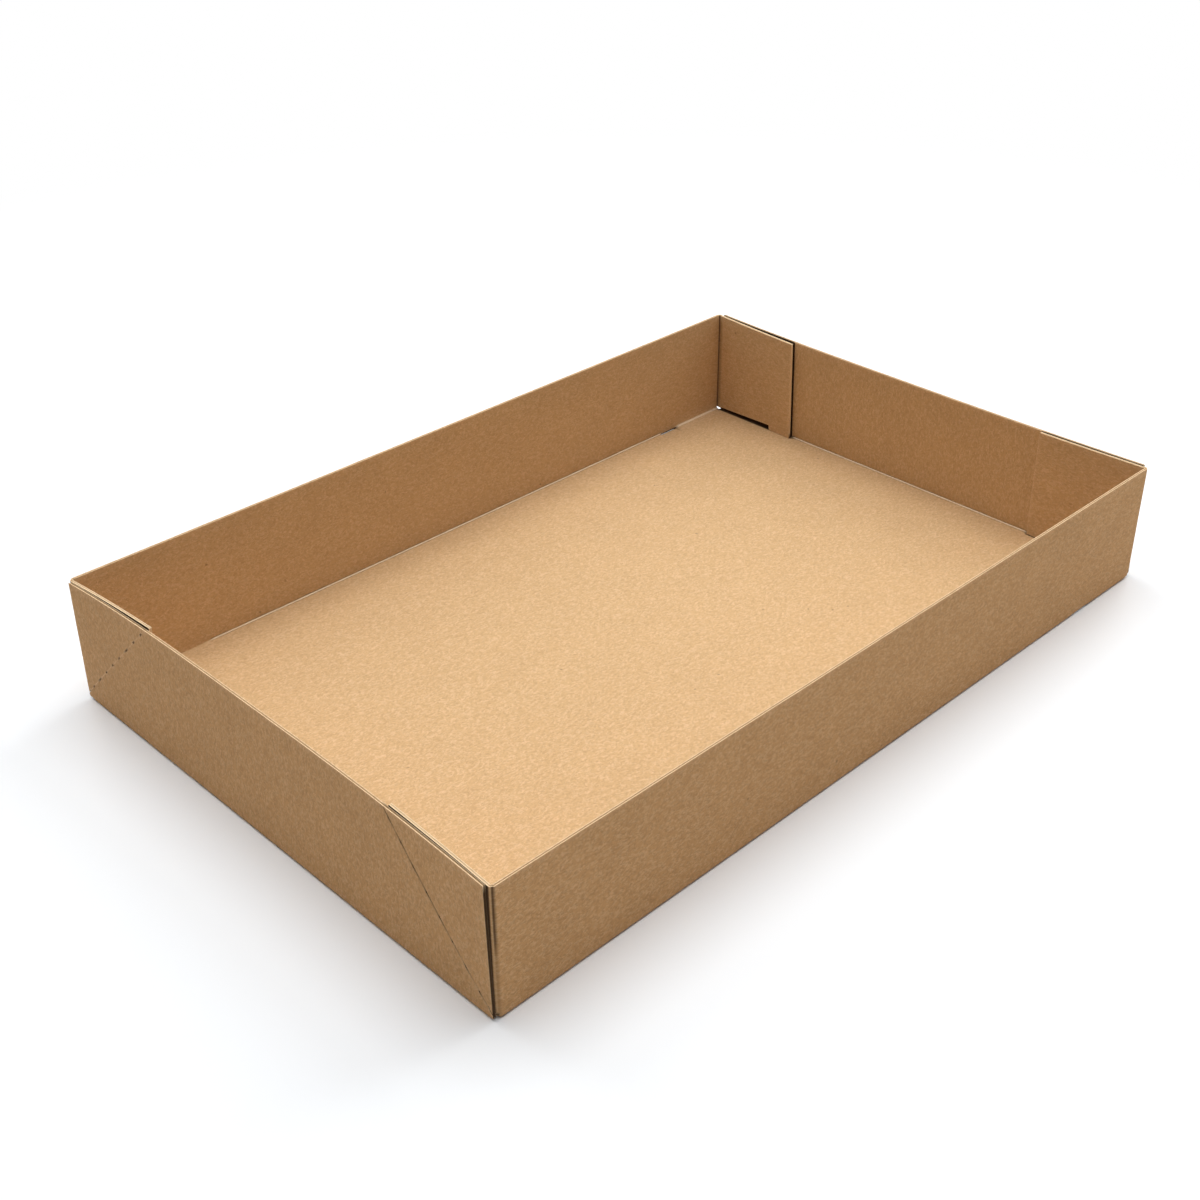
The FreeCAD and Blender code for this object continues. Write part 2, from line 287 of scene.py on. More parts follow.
def cutBlank():
    outline = subdivided(wholeOutline(), s["lineStep"], closed=True)
    holes = [subdivided(slotLoop(side), s["lineStep"], closed=True) for side in (-1, 1)]
    holes += [arcPoints(place, s["pinholeRadius"], 0, 324, 10) for place in pinholePlaces()]
    points, edges, nearby = [], [], []
    for loop in [outline] + holes:
        first = len(points)
        points += loop
        nearby += subdivided(loop, .6, closed=True)
        edges += [(first + i, first + (i + 1) % len(loop)) for i in range(len(loop))]
    for line in scoreLines():
        first = len(points)
        nearby += subdivided(line, 1.2)
        line = subdivided(line, s["lineStep"])
        points += line
        edges += [(first + i, first + i + 1) for i in range(len(line) - 1)]

    loose = loosePoints(outline, holes, nearby)
    everything = [Vector(p) for p in points] + [Vector(p) for p in loose]
    verts, _, faces, _, _, _ = geometry.delaunay_2d_cdt(everything, edges, [], 0, 1e-5)
    verts = np.array([tuple(p) for p in verts])
    faces = np.array([list(f) for f in faces])
    centres = verts[faces].mean(1)
    keep = insideLoop(centres, outline)
    for hole in holes:
        keep &= ~insideLoop(centres, hole)
    faces = faces[keep]
    a, b, c = [verts[faces[:, i]] for i in range(3)]
    area = (b[:, 0] - a[:, 0]) * (c[:, 1] - a[:, 1]) - (b[:, 1] - a[:, 1]) * (c[:, 0] - a[:, 0])
    faces = faces[np.abs(area) > 1e-7]
    area = area[np.abs(area) > 1e-7]
    faces[area < 0] = faces[area < 0][:, ::-1]
    used, inverse = np.unique(faces, return_inverse=True)
    return verts[used], inverse.reshape(faces.shape)


def ramp(x, start, end):
    t = np.clip((x - start) / (end - start), 0, 1)
    return t * t * (3 - 2 * t)


def hump(x, centre, wide):
    return np.exp(-((x - centre) / wide) ** 2)


def acrossFold(place, edge, insideFace, depth, bead, band):
    # distance out and height of a point of the blank that lies across one fold
    radius = foldInside + thickness * depth
    angle = np.clip((place - edge) / foldMiddle, 0, math.pi / 2)
    out = np.minimum(place, edge) + radius * np.sin(angle)
    up = foldOutside - radius * np.cos(angle) + np.maximum(place - edge - foldArc, 0)
    share = (place - edge + foldZone) / (foldArc + 2 * foldZone)
    within = (share > 0) & (share < 1)
    for name, amount in (("bead", bead), ("band", band)):
        knots = np.array(foldProfiles[name])
        shapedOut = insideFace - np.interp(share, knots[:, 0], knots[:, 1])
        shapedUp = thickness + np.interp(share, knots[:, 0], knots[:, 2])
        weight = np.where(within, amount * (1 - depth), 0)
        out = out + weight * (shapedOut - out)
        up = up + weight * (shapedUp - up)
    return out, up


def wander(a, b, seed):
    # slow uneven swell between 0 and 1
    waves = ((.011, .017), (.023, -.009), (-.031, .027), (.047, .038))
    total = sum(np.sin(2 * math.pi * (a * p + b * q) + seed * (i + 1.7)) / (i + 1.5)
                for i, (p, q) in enumerate(waves))
    return .5 + .22 * total


def ofCorner(name, su, sv):
    value = np.zeros_like(su, dtype=float)
    for (end, side), corner in corners.items():
        value = np.where((su == end) & (sv == side), corner[name], value)
    return value


def creaseShape(u, v, su, sv):
    rise = np.abs(u) - endWallStart
    beside = (rise - (halfWidth - np.abs(v))) / math.sqrt(2)
    broken = .75 + .25 * np.sin(rise * 1.15 + su * 2 + sv)
    wide = np.maximum(ofCorner("wide", su, sv), .1)
    groove = ofCorner("groove", su, sv) * broken * np.exp(-(beside / wide) ** 2)
    ridge = ofCorner("ridge", su, sv) * (hump(beside, .62, .3) + hump(beside, -.62, .3))
    return (groove - ridge) * ramp(rise, 1.5, 4), beside, rise


def foldBeads(u, v):
    # how strongly the board is raised along each fold: bead and band of the long folds, bead of the ends
    su = np.where(u < 0, -1, 1)
    sv = np.where(v < 0, -1, 1)
    uneven = 1 + .1 * np.sin(u * .21 + sv) + .07 * np.sin(u * .57 + 2)
    beadStart = s["beadStart"] - halfLength
    bead = ramp(u, beadStart - .4, beadStart + .4) * (u < slotFrom + .2) * uneven
    band = (u > slotTo - .2) * 1.0
    endBead = ramp(beadEnd - np.abs(v), -.3, .3) * (1 + .1 * np.sin(v * .26 + su) + .06 * np.sin(v * .6))
    return bead, band, endBead


def foldBlank(u, v, depth):
    across, along = np.abs(u), np.abs(v)
    su, sv = np.where(u < 0, -1, 1), np.where(v < 0, -1, 1)
    bead, band, endBead = foldBeads(u, v)
    longOut, longUp = acrossFold(along, longEdge, halfWidth - thickness, depth, bead, band)
    endOut, endUp = acrossFold(across, endEdge, halfLength - thickness, depth, endBead, 0)

    beyond = across > tabFoldStart
    onTab = beyond & ((along > longWallStart - .6) | ((across < endEdge) & (along > longEdge)))
    onEnd = beyond & ~onTab
    turning = np.where(across < endEdge, ramp(along, longEdge + .9, longWallStart + 1), 1)
    radius = foldInside + thickness * depth
    turn = np.clip((across - tabFoldStart) / foldMiddle, 0, math.pi / 2)
    run = np.maximum(across - tabStart, 0)
    tabX = tabFoldStart + radius * np.sin(turn) - ofCorner("standOff", su, sv) * run / tabLength
    tabX = across + turning * (tabX - across)
    tabY = longOut + turning * (longEdge + radius * np.cos(turn) - run - longOut)
    tabZ = longUp + turning * (foldOutside + along - longWallStart - longUp)

    x = np.where(onTab, tabX, np.where(onEnd, endOut, across))
    y = np.where(onTab, tabY, np.where(onEnd, along, longOut))
    z = np.where(onTab, tabZ, np.where(onEnd, endUp, longUp))

    # scored lines on the end walls, and the score that the tab's fold opens at its top
    sink, _, _ = creaseShape(u, v, su, sv)
    x = x - np.where(onEnd & (across > endWallStart), sink * (.75 + .25 * depth), 0)
    score = hump(across, tabFoldStart + s["scoreAt"], .25) * ramp(along, longRim - 32, longRim - 24)
    y = y - np.where((along > tabFoldUnder) & (across > tabFoldStart - 2), .38 * score * depth, 0)

    # the end walls bow inwards with their tabs, and every panel swells a little
    share = np.clip((z - foldOutside) / wallFlat, 0, 1)
    power = np.where(sv < 0, trayBend["bowPower"][0], trayBend["bowPower"][1])
    bow = np.where(su < 0, trayBend["nearBow"], trayBend["farBow"])
    bow = bow * (1 - np.clip(y / halfWidth, 0, 1) ** power)
    x = x - np.where(beyond, bow * share + trayBend["wallWave"] * wander(v, z, 3) * share, 0)
    onLong = (along > longWallStart) & ~beyond
    held = 1 - (across / tabFoldStart) ** 8
    y = y - np.where(onLong, trayBend["wallWave"] * wander(u, z, 8) * share * held, 0)
    onFloor = ramp(endEdge - across, 0, 14) * ramp(longEdge - along, 0, 14)
    z = z + trayBend["floorWave"] * wander(u, v, 1) * onFloor
    return np.stack([su * x, sv * y, z], 1)


def boundaryLoops(faces):
    seen = {}
    for f in faces:
        for i in range(3):
            seen[(f[i], f[(i + 1) % 3])] = True
    following = {a: b for a, b in seen if (b, a) not in seen}
    loops = []
    while following:
        start = next(iter(following))
        loop, at = [], start
        while at in following:
            loop.append(at)
            at = following.pop(at)
        loops.append(loop)
    return loops


# Two values are painted on every point of the board. Shade: painted shade where no light reaches.
# Wear and highlight: fibres worn pale along creases, and painted highlights on the fold crests, beside
# the scored lines and on the tabs' folds.
def outsideLines(u, v):
    across, along = np.abs(u), np.abs(v)
    su, sv = np.where(u < 0, -1, 1), np.where(v < 0, -1, 1)
    _, beside, rise = creaseShape(u, v, su, sv)
    onTab = (across > tabFoldStart - 2) & (along > longWallStart - .6)
    line = ((across > endEdge + .4) & (along < longEdge + .65)) * (rise > 1)
    low = 1 - ramp(rise, 12, 30)
    waves = .75 + .25 * np.sin(rise * .9 + su + 2 * sv)
    dark = ofCorner("dark", su, sv)
    shade = line * dark * hump(beside, 0, .38) * waves * (1 - .55 * low)
    # painted highlight beside each scored line, where light would catch its flank
    wearAndHighlight = line * ofCorner("wearAndHighlight", su, sv) * hump(beside, -.34 * (dark > 0), .24) * (.5 + .5 * low)
    high = ramp(along, longRim - 34, longRim - 22)
    fromScore = across - tabFoldStart - s["scoreAt"]
    score = .7 * high * hump(fromScore, 0, .3) + .25 * hump(fromScore, 0, .45)
    shade += onTab * (.95 * ramp(across, tabStart - .35, tabStart + .05) + score)
    # painted highlight on the strip of the tab's fold that shows beside the end wall's side edge
    foldStripHighlight = ramp(fromScore, .15, .5) * (1 - ramp(across, tabStart - .5, tabStart - .2))
    wearAndHighlight += onTab * .35 * foldStripHighlight
    return np.clip(shade, 0, 1), np.clip(wearAndHighlight, 0, 1)


def insideLines(u, v):
    across, along = np.abs(u), np.abs(v)
    onTab = (across > tabFoldStart - 2) & (along > longWallStart - .6)
    onEndWall = (across > endEdge + .4) & (along < longEdge + .65)
    bead, band, endBead = foldBeads(u, v)
    bead, band = bead * (across < tabFoldStart), band * (across < tabFoldStart)
    endBead = endBead * (along < longEdge)
    longShare = (along - longEdge + foldZone) / (foldArc + 2 * foldZone)
    endShare = (across - endEdge + foldZone) / (foldArc + 2 * foldZone)
    # fold crests painted pale, crushed fibres and a painted highlight together; painted shade in the dips
    # beside them
    wearAndHighlight = bead * hump(longShare, .48, .15) + band * hump(longShare, .5, .34) * .75
    wearAndHighlight += endBead * hump(endShare, .48, .15)
    shade = bead * hump(longShare, .74, .05) * .6 + endBead * hump(endShare, .74, .05) * .6
    shade += bead * hump(longShare, .26, .04) * .3 + endBead * hump(endShare, .26, .04) * .3
    # hidden behind a tab and under it, and in the corner that its fold makes
    tabEdge = halfWidth - s["tabReach"]
    shade += onEndWall * ramp(along, tabEdge - .15, tabEdge + .15) * .95
    underTab = (across < endEdge + 1.8) * (along > beadEnd) * (along < longEdge)
    shade += underTab * ramp(across, halfLength - 4.1, halfLength - 3.3) * .9
    shade += onTab * .9 * hump(across, tabFoldStart + .86, 1.05)
    # painted highlight beside the dark line in the corner of the tab's fold
    wearAndHighlight += onTab * .25 * hump(across, tabFoldStart + 2.5, .35)
    # the folded-up sides keep light from the floor beside them and from each other
    toWall = np.minimum(endEdge - across, longEdge - along)
    shade += np.where(toWall > 0, .085 * np.exp(-np.maximum(toWall, 0) / 28), .085)
    return np.clip(shade, 0, 1), np.clip(wearAndHighlight, 0, 1)


# Depth through the board and how far the cut stands out there: two liners pinched over the fluting
cutProfile = [(.05, .05), (.2, .06), (.31, .0), (.38, -.16), (.5, -.2),
              (.62, -.16), (.69, .0), (.8, .06), (.95, .05)]
punchedLoop = 60                    # a cut loop with fewer points is a slot or a pinhole
pinholeLoop = 14                    # and with fewer than this a pinhole


def highlightOfCut(here):
    # the free edges of the tabs are painted pale, a painted highlight, most of all at their ends
    across, along = np.abs(here[:, 0]), np.abs(here[:, 1])
    free = (across > tabStart + .5) & (along > footUnderside + .5)
    return np.where(free, np.where(across > tabEnd - .2, .85, .5), 0)


def shadeOfCut(here):
    # dark in the slots and pinholes, on the end walls' side edges and under the tabs, pale elsewhere
    if len(here) < punchedLoop:
        return np.full(len(here), .95)
    across, along = np.abs(here[:, 0]), np.abs(here[:, 1])
    side = (across > endEdge) & (across < endRim - .5)
    side &= (along > halfWidth - 5) & (along < longWallStart - .6)
    under = (across > tabFoldStart + .1) & (along > longEdge + .3) & (along < tabFootUnder + .2)
    return np.where(side, .9, np.where(under, .75, 0.0))


def shadeBehindTab(here, depth):
    # inner half of the end wall's rim, where the tab stands close behind it
    across, along = np.abs(here[:, 0]), np.abs(here[:, 1])
    behind = (across > endRim - .5) & (along > halfWidth - s["tabReach"]) & (along < longEdge)
    return behind * (.55 if depth < .45 else 0)


def cutWalls(flat, loops):
    # rows of points through the thickness along every cut, and the faces between them
    made = {"points": [], "shade": [], "wearAndHighlight": [], "polygons": [], "uv": []}
    total = 2 * len(flat)
    levels = [0] + [depth for depth, _ in cutProfile] + [1]
    for loop in loops:
        here = flat[loop]
        tangent = np.roll(here, -1, 0) - np.roll(here, 1, 0)
        outward = np.stack([tangent[:, 1], -tangent[:, 0]], 1)
        outward = outward / np.maximum(np.hypot(*tangent.T), 1e-9)[:, None]
        rows = [np.array(loop)]
        for depth, stand in cutProfile:
            if len(loop) < pinholeLoop:
                stand = stand * .15 if stand < 0 else stand * .3
            moved = here + outward * stand
            made["points"].append(foldBlank(moved[:, 0], moved[:, 1], np.full(len(loop), depth)))
            made["shade"].append(np.maximum(shadeOfCut(here), shadeBehindTab(here, depth)))
            made["wearAndHighlight"].append(highlightOfCut(here))
            rows.append(np.arange(total, total + len(loop)))
            total += len(loop)
        rows.append(np.array(loop) + len(flat))
        run = np.concatenate([[0], np.cumsum(np.hypot(*(np.roll(here, -1, 0) - here).T))])
        for r in range(len(rows) - 1):
            top, low = levels[r] * thickness, levels[r + 1] * thickness
            for i in range(len(loop)):
                j = (i + 1) % len(loop)
                made["polygons"].append((rows[r][i], rows[r + 1][i], rows[r + 1][j], rows[r][j]))
                made["uv"].append([(run[i], top), (run[i], low), (run[i + 1], low), (run[i + 1], top)])
    return made


def paintBoard(mesh, flat, loops, toCut, cut):
    # painted shade round the slots and the pinholes, where the openings lie in shade
    slots = [p for side in (-1, 1) for p in subdivided(slotLoop(side), .3, closed=True)]
    punched = np.exp(-(distanceTo(flat, slots) / .42) ** 2)
    for loop in loops:
        if len(loop) < punchedLoop:
            punched[loop] = np.maximum(punched[loop], .75)
    # paler board beside every cut: edge wear and a painted highlight
    edgeWearAndHighlightAmount = np.exp(-toCut / .9)
    insideShade, insideWearAndHighlight = insideLines(flat[:, 0], flat[:, 1])
    outsideShade, outsideWearAndHighlight = outsideLines(flat[:, 0], flat[:, 1])
    cutShade, cutHighlight = np.concatenate(cut["shade"]), np.concatenate(cut["wearAndHighlight"])
    painted = {
        "edgeWearAndHighlight": (edgeWearAndHighlightAmount, edgeWearAndHighlightAmount, np.zeros(len(cutShade))),
        "shade": (np.maximum(insideShade, punched), np.maximum(outsideShade, punched), cutShade),
        "wearAndHighlight": (insideWearAndHighlight, outsideWearAndHighlight, cutHighlight),
    }
    for name, values in painted.items():
        attribute = mesh.attributes.new(name, "FLOAT", "POINT")
        attribute.data.foreach_set("value", np.concatenate(values).astype(np.float32))


def makeBoard():
    flat, faces = cutBlank()
    loops = boundaryLoops(faces)
    print("blank cut:", len(flat), "points,", len(faces), "triangles,", len(loops), "cut loops")
    count = len(flat)
    cuts = [p for loop in loops for p in subdivided([tuple(q) for q in flat[loop]], .4, closed=True)]
    toCut = distanceTo(flat, cuts)
    crush = trayBend["edgeCrush"] / thickness * np.exp(-toCut / .8)
    cut = cutWalls(flat, loops)
    inner, outer = [foldBlank(flat[:, 0], flat[:, 1], depth) for depth in (crush, 1 - crush)]
    places = np.concatenate([inner, outer] + cut["points"]) * mm
    innerFaces = [tuple(f) for f in faces]
    outerFaces = [tuple(f[::-1]) for f in faces]
    polygons = innerFaces + [tuple(i + count for i in f) for f in outerFaces] + cut["polygons"]
    mesh = bpy.data.meshes.new("foldedBoard")
    mesh.from_pydata(places.tolist(), [], [tuple(int(i) for i in p) for p in polygons])
    materialOf = [0] * len(faces) + [1] * len(faces) + [2] * len(cut["polygons"])
    mesh.polygons.foreach_set("material_index", materialOf)
    mesh.polygons.foreach_set("use_smooth", [True] * len(polygons))
    cornerUv = [[tuple(flat[i]) for i in f] for f in innerFaces + outerFaces] + cut["uv"]
    layer = mesh.uv_layers.new(name="blank")
    layer.data.foreach_set("uv", (np.array([p for face in cornerUv for p in face]) * mm).ravel())
    paintBoard(mesh, flat, loops, toCut, cut)
    mesh.validate()
    mesh.set_sharp_from_angle(angle=math.radians(38))
    board = bpy.data.objects.new("foldedBoard", mesh)
    scene.collection.objects.link(board)
    triangles = sum(len(p.vertices) - 2 for p in mesh.polygons)
    print("board folded:", len(mesh.vertices), "points,", triangles, "triangles")
    return board


board = makeBoard()


def put(tree, kind, inputs=None, **settings):
    node = tree.nodes.new(kind)
    for key, value in settings.items():
        setattr(node, key, value)
    for key, value in (inputs or {}).items():
        if isinstance(value, bpy.types.NodeSocket):
            tree.links.new(value, node.inputs[key])
        else:
            node.inputs[key].default_value = value
    return node


def maths(tree, operation, *values, clamp=False):
    node = put(tree, "ShaderNodeMath", dict(enumerate(values)), operation=operation)
    node.use_clamp = clamp
    return node.outputs[0]


def blendColours(tree, share, first, second, kind="MIX"):
    node = put(tree, "ShaderNodeMix", {"Factor": share}, data_type="RGBA", blend_type=kind)
    for name, value in (("A", first), ("B", second)):
        socket = [i for i in node.inputs if i.name == name and i.type == "RGBA"][0]
        if isinstance(value, bpy.types.NodeSocket):
            tree.links.new(value, socket)
        else:
            socket.default_value = (*value, 1)
    return [o for o in node.outputs if o.type == "RGBA"][0]


def newGroup(name, inputs, outputs):
    tree = bpy.data.node_groups.new(name, "ShaderNodeTree")
    for label, kind, value in inputs:
        socket = tree.interface.new_socket(label, in_out="INPUT", socket_type=kind)
        if value is not None:
            socket.default_value = value
    for label, kind in outputs:
        tree.interface.new_socket(label, in_out="OUTPUT", socket_type=kind)
    return tree, tree.nodes.new("NodeGroupInput").outputs, tree.nodes.new("NodeGroupOutput").inputs


def vectorMaths(tree, operation, first, second):
    return put(tree, "ShaderNodeVectorMath", {0: first, 1: second}, operation=operation).outputs[0]


def scaled(tree, vector, amount):
    return put(tree, "ShaderNodeVectorMath", {0: vector, "Scale": amount}, operation="SCALE").outputs[0]


def stretched(tree, value, start, end, low=0.0, high=1.0, **settings):
    limits = {"Value": value, "From Min": start, "From Max": end, "To Min": low, "To Max": high}
    return put(tree, "ShaderNodeMapRange", limits, **settings).outputs[0]


def noise(tree, place, size, detail, **settings):
    inputs = {"Vector": place, "Scale": size, "Detail": detail}
    inputs.update(settings)
    return put(tree, "ShaderNodeTexNoise", inputs)


def shiftedBy(tree, place, amount):
    return vectorMaths(tree, "ADD", place, (amount, -amount, amount * .5))


def fibreStrokes(tree, place, turn, stretch, size, seed, wide, rarity):
    # short curly strokes: level lines of a stretched noise, kept only where a second noise is high
    laying = {"Vector": shiftedBy(tree, place, seed), "Rotation": (0, 0, math.radians(turn)),
              "Scale": (1, stretch, 1)}
    laid = put(tree, "ShaderNodeMapping", laying).outputs[0]
    lines = noise(tree, laid, size, 1.0, Roughness=.4).outputs[0]
    breaks = noise(tree, shiftedBy(tree, laid, 3.1), size * 1.1, 0.0).outputs[0]
    off = maths(tree, "ABSOLUTE", maths(tree, "SUBTRACT", lines, .5))
    stroke = maths(tree, "SUBTRACT", 1.0, maths(tree, "DIVIDE", off, wide), clamp=True)
    return maths(tree, "MULTIPLY", stroke, stretched(tree, breaks, rarity, rarity + .08))


def makeFibreGroup():
    tree, given, made = newGroup("paperFibres", [
        ("Place", "NodeSocketVector", None), ("Seed", "NodeSocketFloat", 0.0),
        ("Curl", "NodeSocketFloat", .0016)],
        [(name, "NodeSocketFloat") for name in ("Light", "Dark", "Grain", "Cloud", "Specks", "Height")])
    shift = put(tree, "ShaderNodeCombineXYZ", {"X": given["Seed"], "Y": given["Seed"]}).outputs[0]
    shifted = vectorMaths(tree, "ADD", given["Place"], shift)
    swirl = noise(tree, shifted, 210.0, 1.0).outputs["Color"]
    swirl = scaled(tree, vectorMaths(tree, "SUBTRACT", swirl, (.5, .5, .5)), given["Curl"])
    place = vectorMaths(tree, "ADD", shifted, swirl)
    light = maths(tree, "MAXIMUM", fibreStrokes(tree, place, 12, 1.9, 410.0, 1.0, .085, .47),
                  fibreStrokes(tree, place, 74, 1.8, 360.0, 2.0, .08, .49))
    dark = maths(tree, "MAXIMUM", fibreStrokes(tree, place, 33, 1.9, 400.0, 4.0, .085, .49),
                 fibreStrokes(tree, place, -60, 1.8, 350.0, 5.0, .08, .5))
    grain = noise(tree, shifted, 950.0, 2.0, Roughness=.6).outputs[0]
    cloud = noise(tree, shifted, 45.0, 3.0, Roughness=.5).outputs[0]
    cells = put(tree, "ShaderNodeTexVoronoi", {"Vector": place, "Scale": 130.0}, feature="F1")
    pick = put(tree, "ShaderNodeSeparateColor", {0: cells.outputs["Color"]}).outputs[0]
    rare = maths(tree, "GREATER_THAN", pick, .93)
    specks = maths(tree, "MULTIPLY", rare, stretched(tree, cells.outputs["Distance"], .1, .04))
    height = maths(tree, "MULTIPLY_ADD", dark, -.35, maths(tree, "MULTIPLY", grain, .5))
    height = maths(tree, "MULTIPLY_ADD", light, .5, height)
    results = dict(Light=light, Dark=dark, Grain=grain, Cloud=cloud, Specks=specks, Height=height)
    for name, value in results.items():
        tree.links.new(value, made[name])
    return tree


# wearAndHighlight: the colour of fibres worn pale and of the painted highlights
liners = {
    "insideLiner": {
        "base": (.645, .418, .213), "light": (.87, .64, .4), "dark": (.42, .24, .105),
        "wearAndHighlight": (1.0, .84, .62), "curl": .0024, "seed": 0.0,
        "lightAmount": .4, "darkAmount": .3, "cloudAmount": .1, "grainAmount": .3},
    "outsideLiner": {
        "base": (.625, .35, .15), "light": (.85, .58, .34), "dark": (.37, .195, .075),
        "wearAndHighlight": (.86, .58, .33), "curl": .0016, "seed": 3.7,
        "lightAmount": .4, "darkAmount": .34, "cloudAmount": .14, "grainAmount": .3},
}
lostLight = (.045, .02, .006)       # board where no light reaches


def painted(tree, name):
    return put(tree, "ShaderNodeAttribute", attribute_name=name).outputs["Fac"]


def newMaterial(name):
    material = bpy.data.materials.new(name)
    material.use_nodes = True
    tree = material.node_tree
    return material, tree, tree.nodes["Principled BSDF"]


def placedFibres(tree, fibres, place, seed=0.0, curl=None):
    paper = put(tree, "ShaderNodeGroup", node_tree=fibres)
    tree.links.new(place, paper.inputs["Place"])
    paper.inputs["Seed"].default_value = seed
    if curl is not None:
        paper.inputs["Curl"].default_value = curl
    return paper.outputs


def raiseFibres(tree, shader, paper):
    bump = put(tree, "ShaderNodeBump", {"Strength": .6, "Distance": .00012, "Height": paper["Height"]})
    tree.links.new(bump.outputs[0], shader.inputs["Normal"])


def makeLiner(name, fibres):
    look = liners[name]
    material, tree, shader = newMaterial(name)
    blankPlace = put(tree, "ShaderNodeUVMap", uv_map="blank").outputs[0]
    paper = placedFibres(tree, fibres, blankPlace, look["seed"], look["curl"])
    light = maths(tree, "MULTIPLY", paper["Light"], look["lightAmount"])
    dark = maths(tree, "MULTIPLY", paper["Dark"], look["darkAmount"])
    colour = blendColours(tree, light, look["base"], look["light"])
    colour = blendColours(tree, dark, colour, look["dark"])
    tone = maths(tree, "MULTIPLY_ADD", maths(tree, "SUBTRACT", paper["Cloud"], .5), look["cloudAmount"], 1.0)
    tone = maths(tree, "MULTIPLY_ADD", maths(tree, "SUBTRACT", paper["Grain"], .5), look["grainAmount"], tone)
    colour = scaled(tree, colour, tone)
    speck = tuple(c * .5 for c in look["dark"])
    colour = blendColours(tree, maths(tree, "MULTIPLY", paper["Specks"], .55), colour, speck)
    # paler along every cut: edge wear and a painted highlight, made uneven by the grain
    uneven = maths(tree, "MULTIPLY_ADD", paper["Grain"], .8, .1)
    edgeWearAndHighlightMix = maths(tree, "MULTIPLY", painted(tree, "edgeWearAndHighlight"), uneven, clamp=True)
    colour = blendColours(tree, maths(tree, "MULTIPLY", edgeWearAndHighlightMix, .55), colour, look["light"])
    # pale worn fibres and painted highlights, made uneven by the grain
    wearAndHighlightMix = maths(tree, "MULTIPLY_ADD", paper["Grain"], 1.6, .2)
    wearAndHighlightMix = maths(tree, "MULTIPLY", painted(tree, "wearAndHighlight"), wearAndHighlightMix, clamp=True)
    colour = blendColours(tree, wearAndHighlightMix, colour, look["wearAndHighlight"])
    colour = blendColours(tree, painted(tree, "shade"), colour, lostLight)
    tree.links.new(colour, shader.inputs["Base Color"])
    rough = maths(tree, "MULTIPLY_ADD", paper["Grain"], .2, .72)
    tree.links.new(rough, shader.inputs["Roughness"])
    shader.inputs["Specular IOR Level"].default_value = .22
    raiseFibres(tree, shader, paper)
    return material


cutLook = {
    "liner": (.9, .67, .42),
    # shadedHollow: painted shade in the open flutes between the liners
    "shadedHollow": (.4, .235, .11),
    "wavySheet": (.56, .37, .2),
    "fibre": (.42, .25, .12),
    # wearAndHighlight: the painted highlight on the tabs' free edges
    "wearAndHighlight": (.92, .72, .47),
    "fluteLength": 2.4 * mm,
    "seed": 8.1,
}


def makeCutEdge(fibres):
    # two pale liners and the wavy sheet pinched between them, with painted shade in the open flutes, read
    # from the run and the depth in the cut
    look = cutLook
    material, tree, shader = newMaterial("cutEdge")
    blankPlace = put(tree, "ShaderNodeUVMap", uv_map="blank").outputs[0]
    paper = placedFibres(tree, fibres, blankPlace, look["seed"])
    cut = put(tree, "ShaderNodeSeparateXYZ", {0: blankPlace}).outputs
    board = thickness * mm
    middle = maths(tree, "SUBTRACT", cut["Y"], board / 2)
    liner = stretched(tree, maths(tree, "ABSOLUTE", middle), .12 * board, .2 * board)
    wave = maths(tree, "SINE", maths(tree, "MULTIPLY", cut["X"], 2 * math.pi / look["fluteLength"]))
    sheet = maths(tree, "ABSOLUTE", maths(tree, "MULTIPLY_ADD", wave, .09 * board, middle))
    sheet = stretched(tree, sheet, .07 * board, .03 * board)
    torn = stretched(tree, paper["Grain"], .3, .7, .75, 1.0)
    shadedHollow = blendColours(tree, sheet, look["shadedHollow"], look["wavySheet"])
    colour = blendColours(tree, maths(tree, "MULTIPLY", liner, torn, clamp=True), shadedHollow, look["liner"])
    colour = blendColours(tree, maths(tree, "MULTIPLY", paper["Dark"], .3), colour, look["fibre"])
    # painted highlight on the tabs' free edges
    colour = blendColours(tree, painted(tree, "wearAndHighlight"), colour, look["wearAndHighlight"])
    colour = blendColours(tree, painted(tree, "shade"), colour, lostLight)
    tree.links.new(colour, shader.inputs["Base Color"])
    shader.inputs["Roughness"].default_value = .95
    shader.inputs["Specular IOR Level"].default_value = .1
    raiseFibres(tree, shader, paper)
    return material


def makeTornPaper(fibres):
    material, tree, shader = newMaterial("tornPaper")
    paper = placedFibres(tree, fibres, put(tree, "ShaderNodeTexCoord").outputs["Object"])
    colour = blendColours(tree, paper["Grain"], (.36, .19, .08), (.62, .38, .2))
    tree.links.new(colour, shader.inputs["Base Color"])
    shader.inputs["Roughness"].default_value = .95
    shader.inputs["Specular IOR Level"].default_value = .1
    return material


paperFibres = makeFibreGroup()
for liner in ("insideLiner", "outsideLiner"):
    board.data.materials.append(makeLiner(liner, paperFibres))
board.data.materials.append(makeCutEdge(paperFibres))
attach(board, "root")
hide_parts("folded_tray")
print("board finished")

# Burr that the punch leaves round every pinhole, on the outside of the end walls
burr = {
    "Ring Radius": .46 * mm,
    "Burr Radius": .06 * mm,
    "Unevenness": .35,
    "Seed": 4,
}


